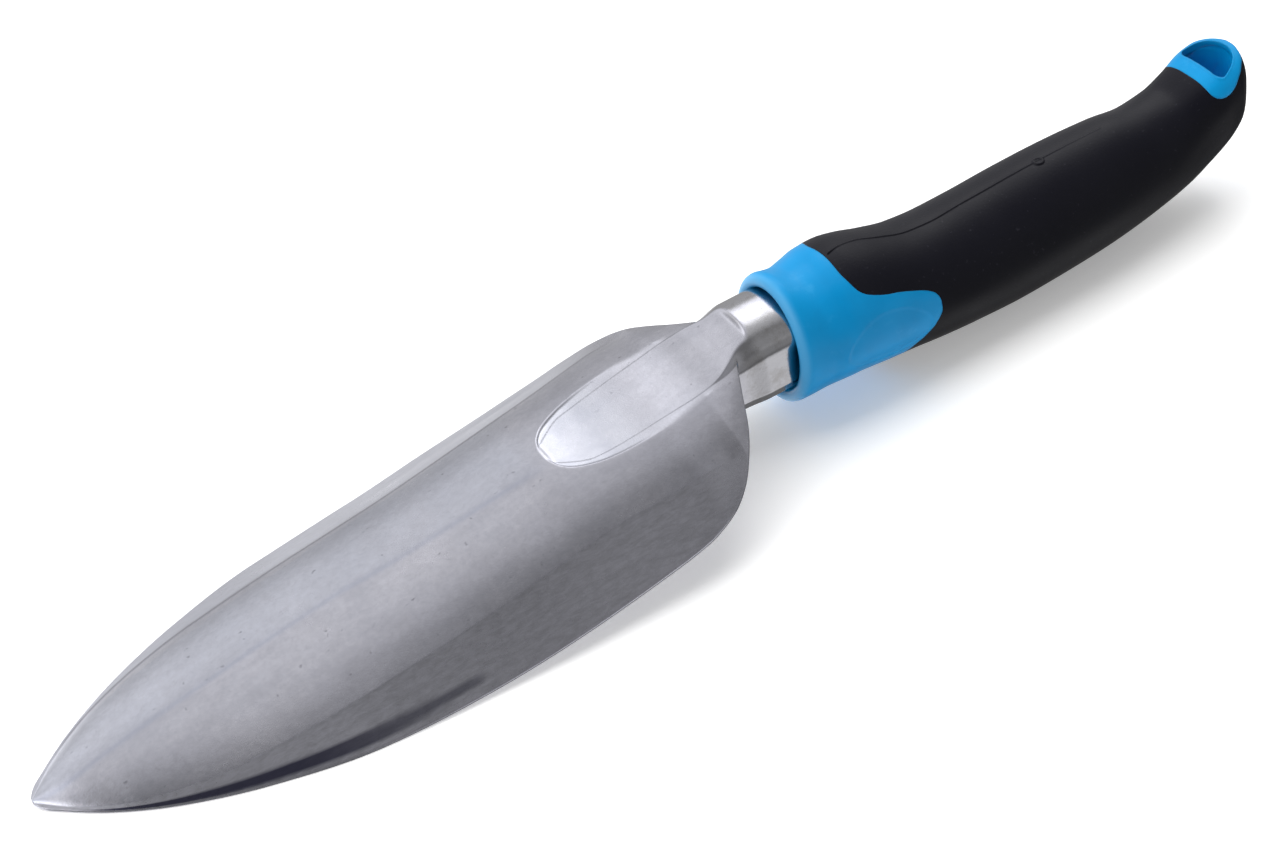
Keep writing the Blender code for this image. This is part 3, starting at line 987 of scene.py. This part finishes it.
def gate_mesh():
    """The small scar where the soft plastic was cut from its gate."""
    top = top_at(GATE_X, GATE_Y)
    turn = np.radians(np.arange(0, 360, GATE_PITCH))
    rings = []
    for radius, rise in GATE_RINGS:
        ring = [(GATE_X + radius * math.cos(a), GATE_Y + radius * math.sin(a), top + rise) for a in turn]
        rings.append(ring)
    return grid_mesh("gate", rings, caps=(True, True))


# Marks on the skins that the materials read


def vertex_rows(mesh, field):
    """X, Y and Z of a field of the mesh's vertices."""
    values = np.empty(3 * len(mesh.vertices))
    mesh.vertices.foreach_get(field, values)
    return values.reshape(-1, 3).T


def mark(mesh, name, values, domain="POINT"):
    """Keeps a value at each vertex or face under this name."""
    values = np.asarray(values, np.float32)
    mesh.attributes.new(name, "FLOAT", domain).data.foreach_set("value", values)


def leaf_mark(x, side, height):
    """The floor of the leaf-shaped hollow."""
    over = height - leaf_height(side, LEAF_FLOOR(x - BOSS_START))
    return leaf_reach(x, abs(side)) * (1 - ease(over, *OVER_LEAF)) * (1 - ease(-over, *BELOW_LEAF))


def open_back(x, height):
    """The back of the blade in front of the leaf."""
    return (1 - ease(x, *BACK_END)) * (height > BACK_SHARE * CROWN(x) - BACK_ALLOWANCE)


def crease_shade_mark(x, side):
    """Painted shade: a dark line along the creases, which is faint on the near side."""
    off_line = abs(side) - CREASE(x)
    line = np.exp(-((off_line / CREASE_LINE_HALF_WIDTH) ** 2))
    line = line * (1 - ease(x, *CREASE_LINE_END)) * ease(x, *CREASE_LINE_START)
    return line * np.where(side > 0, 1.0, NEAR_CREASE_SHARE)


def far_bevel_reflection_mark(x, side):
    """The bevel of the far side, up to the shoulder, which a painted reflection lightens."""
    return ease(abs(side) - CREASE(x), *FAR_BEVEL_EDGE) * (side > 0) * (1 - ease(x, *FAR_BEVEL_END))


def dark_reflection_mark(x, side):
    """A painted dark reflection in a streak along the near bevel, which tapers and pales toward its end."""
    rim_x, rim_half, _ = rim_at(BLADE_STATIONS)
    crease = CREASE(x)
    bevel = np.maximum(np.interp(x, rim_x, rim_half) - crease, NARROWEST_BEVEL)
    across = np.clip((abs(side) - crease) / bevel, -1, 2)
    width = STREAK_HALF_WIDTH * (1 - np.clip(x / STREAK_END, 0, 1) ** STREAK_TAPER)
    streak = (1 - ease(abs(across - STREAK_MIDDLE), width, width + STREAK_SOFT_EDGE)) * (side < 0)
    streak = streak * ease(x, *STREAK_START_FADE) * (1 - ease(x, *STREAK_END_FADE))
    return streak * (1 - STREAK_PALE_SHARE * ease(x, *STREAK_PALE))


def ground_mark(face):
    """1 on the ground bevels, 0 elsewhere, with a fade at the shoulder."""
    station = face.center.x / MM + DRAWN_LENGTH / 2
    on_bevel = abs(face.center.y) / MM > float(CREASE(station)) and face.normal.z > LEAST_UPWARD
    return float(on_bevel) * float(1 - ease(station, *GROUND_END))


def mark_casting(obj):
    """Where the casting is dished, rubbed or ground, and where shade, highlights and reflections are painted
    on it.
    """
    mesh = obj.data
    x, side, height = vertex_rows(mesh, "co") / MM
    x = x + DRAWN_LENGTH / 2
    upper = vertex_rows(mesh, "normal")[2] > 0
    leaf = leaf_mark(x, side, height)
    back = open_back(x, height) * upper
    off_shade_line = side - SHADE_LINE_WAY(x)
    # Leaf: duller finish and a painted highlight, strongest at its front
    mark(mesh, "leaf", leaf * (1 - LEAF_FINISH_AND_HIGHLIGHT_FADE_SHARE * ease(x, *LEAF_FINISH_AND_HIGHLIGHT_FADE)))
    mark(mesh, "neck", ease(x, *NECK_RUB) * (1 - leaf))
    # Painted shade: a dark line along the middle of the back
    mark(mesh, "shade_line", np.exp(-((off_shade_line / SHADE_LINE_HALF_WIDTH) ** 2)) * back)
    # Painted reflection tint on the far half of the back
    mark(mesh, "far", ease(off_shade_line, *FAR_FADE) * back)
    # Painted shade along the creases
    mark(mesh, "crease", crease_shade_mark(x, side) * upper)
    # Painted dark reflection along the near bevel
    mark(mesh, "streak", dark_reflection_mark(x, side) * upper)
    # Painted reflection on the far bevel
    mark(mesh, "far_bevel_reflection", far_bevel_reflection_mark(x, side) * upper)
    mark(mesh, "ground", [ground_mark(face) for face in mesh.polygons], "FACE")


def mark_lip_highlight(obj):
    """The front edge of the collar, where a painted highlight lightens it."""
    mesh = obj.data
    x, side, height = vertex_rows(mesh, "co") / MM
    height = height - MOUTH_HEIGHT
    back = x + DRAWN_LENGTH / 2 - COLLAR_TILT * height - COLLAR_FRONT
    out = np.hypot(side / (MOUTH_HALF_WIDTH + LIP_GROWTH), height / (MOUTH_HALF_HEIGHT + LIP_GROWTH))
    mark(mesh, "lip", (1 - ease(back, *LIP_BACK)) * ease(out, *LIP_OUT))


# Materials

# Colours of the casting: red, green and blue
CAST_DEEP = (0.63, 0.635, 0.715)
CAST_LIGHT = (0.715, 0.71, 0.785)
STREAKED = (0.46, 0.465, 0.53)
# Painted reflection: the far half of the back a little bluer and darker
FAR_HALF_PAINTED_TINT = (0.59, 0.62, 0.72)
MOTTLED = (0.44, 0.44, 0.50)
PATCHED = (0.46, 0.46, 0.51)
# Painted shade line along the middle of the back
PAINTED_SHADE_LINE = (0.40, 0.43, 0.55)
PITTED = (0.22, 0.22, 0.25)
# Leaf: partly its duller finish, partly a painted highlight
LEAF_DEEP = (0.63, 0.65, 0.74)
LEAF_LIGHT = (0.74, 0.755, 0.84)
GROUND_DEEP = (0.46, 0.46, 0.51)
GROUND_LIGHT = (0.58, 0.58, 0.65)
# Painted reflection of the table on the far bevel
FAR_BEVEL_PAINTED_REFLECTION = (0.75, 0.77, 0.87)
# Painted shade along the creases
CREASE_PAINTED_SHADE = (0.22, 0.22, 0.27)
# Painted dark reflection along the near bevel
NEAR_BEVEL_PAINTED_REFLECTION = (0.045, 0.045, 0.085)
NECK_CLEAN = (0.54, 0.54, 0.57)
NECK_STAINED = (0.32, 0.305, 0.29)

# Colours of the plastics
BLUE_DEEP = (0.0, 0.25, 0.565)
BLUE_LIGHT = (0.002, 0.305, 0.67)
BLUE_SCUFFED = (0.06, 0.40, 0.75)
# Painted highlight along the collar's lip
BLUE_LIP_HIGHLIGHT = (0.16, 0.48, 0.78)
BLACK_DEEP = (0.003, 0.003, 0.007)
BLACK_LIGHT = (0.006, 0.006, 0.011)
BLACK_DUSTY = (0.05, 0.05, 0.065)
PLASTIC_SHINE = 0.22

# Radius that the materials round the edges by, in metres
METAL_ROUNDING = 0.0005
BLUE_ROUNDING = 0.0007
BLACK_ROUNDING = 0.0004
ROUNDING_SAMPLES = 6


class Paint:
    """Short names for building a material's nodes."""

    def __init__(self, name):
        self.material = bpy.data.materials.new(name)
        self.material.use_nodes = True
        self.tree = self.material.node_tree
        self.shader = self.tree.nodes["Principled BSDF"]
        self.place = self.node("ShaderNodeTexCoord").outputs["Object"]

    def node(self, kind, **values):
        """A new node with these settings."""
        made = self.tree.nodes.new(kind)
        for key, value in values.items():
            setattr(made, key, value)
        return made

    def feed(self, socket, value):
        """Links a socket to the value, or sets the value on it."""
        if isinstance(value, bpy.types.NodeSocket):
            self.tree.links.new(value, socket)
        elif isinstance(value, tuple):
            socket.default_value = (*value, 1.0)
        else:
            socket.default_value = value

    def set(self, name, value):
        """Feeds the shader's socket of this name."""
        self.feed(self.shader.inputs[name], value)

    def noise(self, scale, detail=3.0, roughness=0.5, stretch=(1, 1, 1), distortion=0.0):
        mapping = self.node("ShaderNodeMapping")
        mapping.inputs["Scale"].default_value = stretch
        self.feed(mapping.inputs["Vector"], self.place)
        made = self.node("ShaderNodeTexNoise")
        made.inputs["Scale"].default_value = scale
        made.inputs["Detail"].default_value = detail
        made.inputs["Roughness"].default_value = roughness
        made.inputs["Distortion"].default_value = distortion
        self.feed(made.inputs["Vector"], mapping.outputs["Vector"])
        return made.outputs["Fac"]

    def span(self, value, low, high, to_low, to_high):
        """Carries the span from low to high over to another span."""
        made = self.node("ShaderNodeMapRange")
        self.feed(made.inputs["Value"], value)
        made.inputs["From Min"].default_value = low
        made.inputs["From Max"].default_value = high
        made.inputs["To Min"].default_value = to_low
        made.inputs["To Max"].default_value = to_high
        return made.outputs["Result"]

    def share(self, value, low, high, most=1.0):
        """0 at low and most at high."""
        return self.span(value, low, high, 0.0, most)

    def math(self, operation, a, b):
        made = self.node("ShaderNodeMath", operation=operation)
        self.feed(made.inputs[0], a)
        self.feed(made.inputs[1], b)
        return made.outputs["Value"]

    def plus(self, a, b, weight=1.0):
        """The first value and weight times the second."""
        return self.math("ADD", a, self.math("MULTIPLY", b, weight))

    def mix(self, share, a, b):
        """The first colour with a share of the second."""
        made = self.node("ShaderNodeMix", data_type="RGBA")
        first, second = [socket for socket in made.inputs if socket.type == "RGBA"]
        self.feed(made.inputs["Factor"], share)
        self.feed(first, a)
        self.feed(second, b)
        return next(socket for socket in made.outputs if socket.type == "RGBA")

    def marked(self, name, weight=1.0):
        """Weight times the skin's mark of this name."""
        value = self.node("ShaderNodeAttribute", attribute_name=name).outputs["Fac"]
        return self.math("MULTIPLY", value, weight)

    def bump(self, height, strength, distance, normal):
        made = self.node("ShaderNodeBump")
        made.inputs["Strength"].default_value = strength
        made.inputs["Distance"].default_value = distance
        self.feed(made.inputs["Height"], height)
        self.feed(made.inputs["Normal"], normal)
        return made.outputs["Normal"]

    def rounded(self, radius):
        """The normal as if the edges were rounded."""
        made = self.node("ShaderNodeBevel", samples=ROUNDING_SAMPLES)
        made.inputs["Radius"].default_value = radius
        return made.outputs["Normal"]


def casting_tone(p, cloud, patch):
    """Colour of the back as it was cast, with its clouds, streaks and pits, a painted shade line along its
    middle and a painted reflection tint on its far half.
    """
    streaks = p.noise(scale=55.0, detail=4.0, roughness=0.55, stretch=(0.7, 3.0, 3.0), distortion=0.3)
    mottle = p.noise(scale=520.0, detail=4.0, roughness=0.75)
    specks = p.noise(scale=420.0, detail=2.0)
    tone = p.mix(p.share(cloud, 0.35, 0.68), CAST_DEEP, CAST_LIGHT)
    tone = p.mix(p.share(streaks, 0.42, 0.66, most=0.28), tone, STREAKED)
    # Painted reflection tint on the far half of the back
    tone = p.mix(p.marked("far", 0.45), tone, FAR_HALF_PAINTED_TINT)
    tone = p.mix(p.share(mottle, 0.38, 0.66, most=0.3), tone, MOTTLED)
    tone = p.mix(p.share(patch, 0.42, 0.66, most=0.22), tone, PATCHED)
    # Painted shade line along the middle of the back
    tone = p.mix(p.marked("shade_line", 0.35), tone, PAINTED_SHADE_LINE)
    return p.mix(p.share(specks, 0.70, 0.78, most=0.55), tone, PITTED)


def finished_tone(p, tone, patch, brushed):
    """The cast colour with the leaf and its painted highlight, the ground bevels with a painted reflection
    on the far one, painted shade along the creases, a painted dark reflection on the near bevel and the neck
    over it.
    """
    stain = p.noise(scale=210.0, detail=6.0, roughness=0.75)
    leaf = p.mix(p.share(patch, 0.38, 0.62), LEAF_DEEP, LEAF_LIGHT)
    # Leaf: duller finish with a painted highlight
    tone = p.mix(p.marked("leaf", 0.75), tone, leaf)
    ground = p.mix(p.share(brushed, 0.35, 0.65), GROUND_DEEP, GROUND_LIGHT)
    # Painted reflection lightens the far bevel
    ground = p.mix(p.marked("far_bevel_reflection", 0.4), ground, FAR_BEVEL_PAINTED_REFLECTION)
    tone = p.mix(p.marked("ground"), tone, ground)
    # Painted shade along the creases
    tone = p.mix(p.marked("crease", 0.8), tone, CREASE_PAINTED_SHADE)
    # Painted dark reflection along the near bevel
    tone = p.mix(p.marked("streak", 0.94), tone, NEAR_BEVEL_PAINTED_REFLECTION)
    neck = p.mix(p.share(stain, 0.46, 0.68, most=0.5), NECK_CLEAN, NECK_STAINED)
    return p.mix(p.marked("neck"), tone, neck)


def paint_metal():
    """Cast aluminium: a little uneven, duller in the leaf and on the ground bevels, smoother on the neck,
    with painted shade, highlights and reflections in its colour.
    """
    p = Paint("cast_aluminium")
    cloud = p.noise(scale=38.0, detail=4.0, roughness=0.6)
    patch = p.noise(scale=120.0, detail=5.0, roughness=0.65)
    fine = p.noise(scale=900.0, roughness=0.6)
    grain = p.noise(scale=2600.0, detail=2.0, roughness=0.6)
    brushed = p.noise(scale=260.0, detail=4.0, roughness=0.75, stretch=(1.0, 3.5, 3.5), distortion=0.4)
    wave = p.noise(scale=16.0, detail=2.0, stretch=(0.5, 1.0, 1.0))
    p.set("Base Color", finished_tone(p, casting_tone(p, cloud, patch), patch, brushed))
    p.set("Metallic", 1.0)
    rough = p.span(p.plus(cloud, fine), 0.7, 1.3, to_low=0.19, to_high=0.28)
    for name, weight in (("leaf", 0.06), ("ground", 0.07), ("neck", -0.10)):
        rough = p.plus(rough, p.marked(name), weight)
    p.set("Roughness", rough)
    brushing = p.math("MULTIPLY", brushed, p.marked("ground"))
    relief = p.plus(p.plus(grain, fine, weight=0.8), brushing, weight=3.0)
    uneven = p.bump(wave, strength=1.0, distance=0.0016, normal=p.rounded(METAL_ROUNDING))
    p.set("Normal", p.bump(relief, strength=0.22, distance=0.00005, normal=uneven))
    return p.material


def paint_blue():
    """Hard blue plastic, scuffed, with a painted highlight on its lip."""
    p = Paint("blue_plastic")
    cloud = p.noise(scale=60.0)
    scuff = p.noise(scale=140.0, detail=5.0, roughness=0.7)
    grain = p.noise(scale=1800.0, detail=2.0)
    tone = p.mix(p.share(cloud, 0.3, 0.7), BLUE_DEEP, BLUE_LIGHT)
    tone = p.mix(p.share(scuff, 0.58, 0.74, most=0.3), tone, BLUE_SCUFFED)
    # Painted highlight along the collar's lip
    p.set("Base Color", p.mix(p.marked("lip", 0.45), tone, BLUE_LIP_HIGHLIGHT))
    p.set("Roughness", p.span(cloud, 0.3, 0.7, to_low=0.28, to_high=0.36))
    p.set("Specular IOR Level", PLASTIC_SHINE)
    p.set("Normal", p.bump(grain, strength=0.12, distance=0.00004, normal=p.rounded(BLUE_ROUNDING)))
    return p.material


def paint_black():
    """Soft black plastic with a fine grain and a little dust."""
    p = Paint("black_rubber")
    cloud = p.noise(scale=70.0, detail=4.0, roughness=0.6)
    specks = p.noise(scale=1100.0, detail=2.0)
    grain = p.noise(scale=1500.0, roughness=0.6)
    tone = p.mix(cloud, BLACK_DEEP, BLACK_LIGHT)
    p.set("Base Color", p.mix(p.share(specks, 0.68, 0.75, most=0.25), tone, BLACK_DUSTY))
    p.set("Roughness", p.span(cloud, 0.3, 0.7, to_low=0.36, to_high=0.46))
    p.set("Specular IOR Level", PLASTIC_SHINE)
    p.set("Normal", p.bump(grain, strength=0.45, distance=0.00008, normal=p.rounded(BLACK_ROUNDING)))
    return p.material


def dress(obj, node, material):
    obj.data.materials.clear()
    obj.data.materials.append(material)
    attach(obj, "root")
    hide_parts(node)


blade_skin = joined("blade_skin", [blade_shell(), shank()])
mark_casting(blade_skin)
dress(blade_skin, "blade", paint_metal())
core_skin = joined("core_skin", [collar(), core_mesh(), ring_mesh(), sleeve_mesh()])
mark_lip_highlight(core_skin)
dress(core_skin, "handle_core", paint_blue())
dress(joined("grip_skin", [grip_mesh(), seam_mesh(), gate_mesh()]), "grip", paint_black())


# Floor, studio and camera, in metres

FLOOR_HALF = 3.0
FLOOR_TONE = (0.9, 0.9, 0.9, 1.0)
FLOOR_ROUGHNESS = 0.9
FLOOR_GLOW = 0.3
WHITE = (1.0, 1.0, 1.0, 1.0)

LIGHT_PLACE = (0.1, 0.6, 1.35)
LIGHT_SIZE = (2.0, 1.6)
LIGHT_POWER = 24.0

# Bright round panels of the studio, set against the photo: azimuth, elevation, radius of the full
# brightness and radius where it has faded out, in degrees, and brightness
PANELS = (
    # Behind the tool: one wide fill, then what the back of the blade, the leaf and the neck mirror
    (75, 30, 20, 75, 0.30),
    (45, 40, 5, 25, 0.95),
    (65, 43, 5, 20, 0.80),
    (150, 40, 5, 25, 1.00),
    (75, 70, 5, 25, 0.15),
    (105, 20, 5, 25, 0.15),
    (90, 50, 15, 50, 0.10),
    (120, 30, 10, 35, 0.20),
    # Low behind the tool, for the far bevel
    (120, -40, 15, 50, 1.50),
    # In front of the tip, for the tip and the collar
    (180, 30, 5, 25, 2.10),
    # On the near side: two weak fills, and what the side of the neck mirrors
    (-60, 50, 10, 35, 0.15),
    (-75, 10, 10, 35, 0.10),
    (-60, -50, 5, 25, 0.70),
)
ROOM = 0.20

# Camera that sees the tool as the photo does: place in the profiles' millimetres, turn in degrees
CAMERA_PLACE = (12.2, -379.7, 380.4)
CAMERA_TURN = (47.50, 9.69, -30.33)
CAMERA_LENS = 64.9
CAMERA_SENSOR = 36.0
CAMERA_SHIFT = (-0.0012, -0.0005)


def make_floor():
    """A plain pale floor that doesn't show in the metal."""
    mesh = bpy.data.meshes.new("floor")
    corners = [(x * FLOOR_HALF, y * FLOOR_HALF, 0) for x, y in ((-1, -1), (1, -1), (1, 1), (-1, 1))]
    mesh.from_pydata(corners, [], [(0, 1, 2, 3)])
    floor = bpy.data.objects.new("floor", mesh)
    bpy.context.scene.collection.objects.link(floor)
    material = bpy.data.materials.new("floor")
    material.use_nodes = True
    shader = material.node_tree.nodes["Principled BSDF"]
    shader.inputs["Base Color"].default_value = FLOOR_TONE
    shader.inputs["Roughness"].default_value = FLOOR_ROUGHNESS
    shader.inputs["Emission Color"].default_value = WHITE
    shader.inputs["Emission Strength"].default_value = FLOOR_GLOW
    floor.data.materials.append(material)
    floor.visible_glossy = False


def make_light():
    """A soft overhead panel, aimed at the tool, that lights without showing in the metal."""
    data = bpy.data.lights.new("overhead", "AREA")
    data.shape = "RECTANGLE"
    data.size, data.size_y = LIGHT_SIZE
    data.energy = LIGHT_POWER
    light = bpy.data.objects.new("overhead", data)
    light.location = LIGHT_PLACE
    light.rotation_euler = (-Vector(LIGHT_PLACE)).to_track_quat("-Z", "Y").to_euler()
    light.visible_glossy = False
    bpy.context.scene.collection.objects.link(light)


def direction(azimuth, elevation):
    """Unit vector; azimuth 0 looks past the handle's end and 90 past the far side."""
    a = math.radians(azimuth)
    e = math.radians(elevation)
    return Vector((math.cos(e) * math.cos(a), math.cos(e) * math.sin(a), math.sin(e)))


def add_values(tree, a, b):
    """Sum of a socket and another socket or number."""
    made = tree.nodes.new("ShaderNodeMath")
    made.operation = "ADD"
    tree.links.new(a, made.inputs[0])
    if isinstance(b, bpy.types.NodeSocket):
        tree.links.new(b, made.inputs[1])
    else:
        made.inputs[1].default_value = b
    return made.outputs["Value"]


def panel_light(tree, way, azimuth, elevation, full, faded, brightness):
    """Brightness of one round panel in the direction that is looked at."""
    toward = tree.nodes.new("ShaderNodeVectorMath")
    toward.operation = "DOT_PRODUCT"
    tree.links.new(way, toward.inputs[0])
    toward.inputs[1].default_value = direction(azimuth, elevation)
    fade = tree.nodes.new("ShaderNodeMapRange")
    fade.interpolation_type = "SMOOTHSTEP"
    tree.links.new(toward.outputs["Value"], fade.inputs["Value"])
    fade.inputs["From Min"].default_value = math.cos(math.radians(faded))
    fade.inputs["From Max"].default_value = math.cos(math.radians(full))
    fade.inputs["To Min"].default_value = 0.0
    fade.inputs["To Max"].default_value = brightness
    return fade.outputs["Result"]


def make_world():
    """The studio: a dim room with bright panels round the tool."""
    world = bpy.data.worlds.new("studio")
    world.use_nodes = True
    tree = world.node_tree
    way = tree.nodes.new("ShaderNodeTexCoord").outputs["Generated"]
    total = panel_light(tree, way, *PANELS[0])
    for panel in PANELS[1:]:
        total = add_values(tree, total, panel_light(tree, way, *panel))
    background = tree.nodes["Background"]
    tree.links.new(add_values(tree, total, ROOM), background.inputs["Strength"])
    background.inputs["Color"].default_value = WHITE
    bpy.context.scene.world = world


def make_camera():
    """The camera of the photo."""
    data = bpy.data.cameras.new("camera")
    data.sensor_width = CAMERA_SENSOR
    data.lens = CAMERA_LENS
    data.shift_x, data.shift_y = CAMERA_SHIFT
    camera = bpy.data.objects.new("camera", data)
    turn = Euler([math.radians(angle) for angle in CAMERA_TURN])
    camera.matrix_world = Matrix.Translation(Vector(placed(CAMERA_PLACE))) @ turn.to_matrix().to_4x4()
    bpy.context.scene.collection.objects.link(camera)
    bpy.context.scene.camera = camera


make_floor()
make_world()
make_light()
make_camera()

scene = bpy.context.scene
scene.view_settings.view_transform = "Standard"
